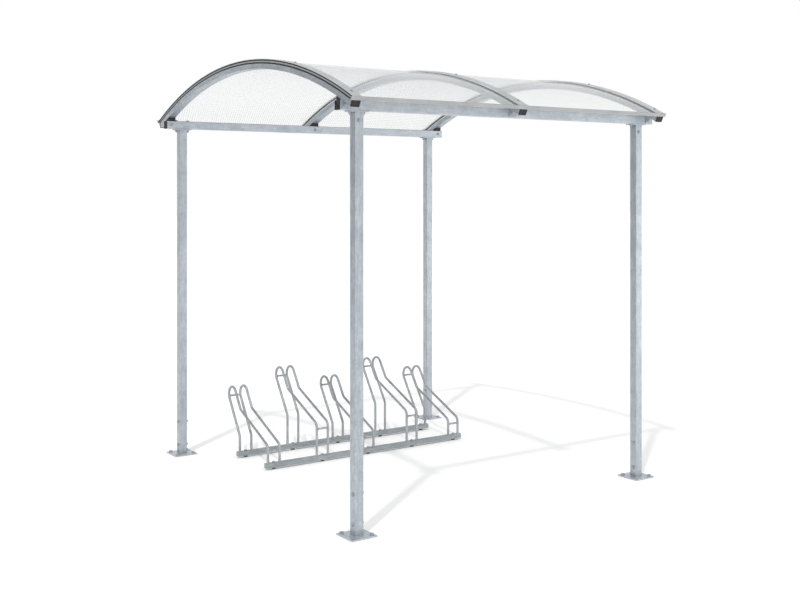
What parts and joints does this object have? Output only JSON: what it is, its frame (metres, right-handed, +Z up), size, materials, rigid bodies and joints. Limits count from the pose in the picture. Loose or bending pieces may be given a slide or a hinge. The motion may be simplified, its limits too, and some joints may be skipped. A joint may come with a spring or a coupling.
{
  "type": "bicycle shelter",
  "caption": "Open steel bicycle shelter on four posts with an arched clear roof, and a two-height wheel rack on the ground inside it.",
  "frame": {"origin": "on the ground, midway between the four posts", "axes": "+X along the two beams, +Y to the rear where the rack stands, +Z up"},
  "size_m": [2.23, 2.3876, 2.4758],
  "materials": {
    "galvanised_steel": "hot-dip galvanised",
    "clear_sheet": "clear, finely embossed",
    "rubber_gasket": "matt black",
    "aluminium": "mill finish, satin",
    "black_plastic": "fine grain"
  },
  "bodies": {
    "root": {"base_plate_front_left": "galvanised_steel", "post_front_left": "galvanised_steel", "post_head_front_left": "galvanised_steel", "base_plate_front_right": "galvanised_steel", "post_front_right": "galvanised_steel", "post_head_front_right": "galvanised_steel", "beam_front": "galvanised_steel", "beam_caps_front": "black_plastic", "eaves_strip_front": "aluminium", "base_plate_rear_left": "galvanised_steel", "post_rear_left": "galvanised_steel", "post_head_rear_left": "galvanised_steel", "base_plate_rear_right": "galvanised_steel", "post_rear_right": "galvanised_steel", "post_head_rear_right": "galvanised_steel", "beam_rear": "galvanised_steel", "beam_caps_rear": "black_plastic", "eaves_strip_rear": "aluminium", "arch_left": "galvanised_steel", "arch_caps_left": "black_plastic", "lower_gasket_left": "rubber_gasket", "upper_gasket_left": "rubber_gasket", "cover_strip_left": "aluminium", "arch_middle": "galvanised_steel", "arch_caps_middle": "black_plastic", "lower_gasket_middle": "rubber_gasket", "upper_gasket_middle": "rubber_gasket", "cover_strip_middle": "aluminium", "arch_right": "galvanised_steel", "arch_caps_right": "black_plastic", "lower_gasket_right": "rubber_gasket", "upper_gasket_right": "rubber_gasket", "cover_strip_right": "aluminium", "roof_sheet_left": "clear_sheet", "roof_sheet_right": "clear_sheet", "rack_rail_front": "galvanised_steel", "rack_rail_rear": "galvanised_steel", "cover_screws": "galvanised_steel", "rack_spacers": "black_plastic", "wheel_holder_1": "galvanised_steel", "wheel_holder_2": "galvanised_steel", "wheel_holder_3": "galvanised_steel", "wheel_holder_4": "galvanised_steel", "wheel_holder_5": "galvanised_steel"}
  },
  "joints": []
}
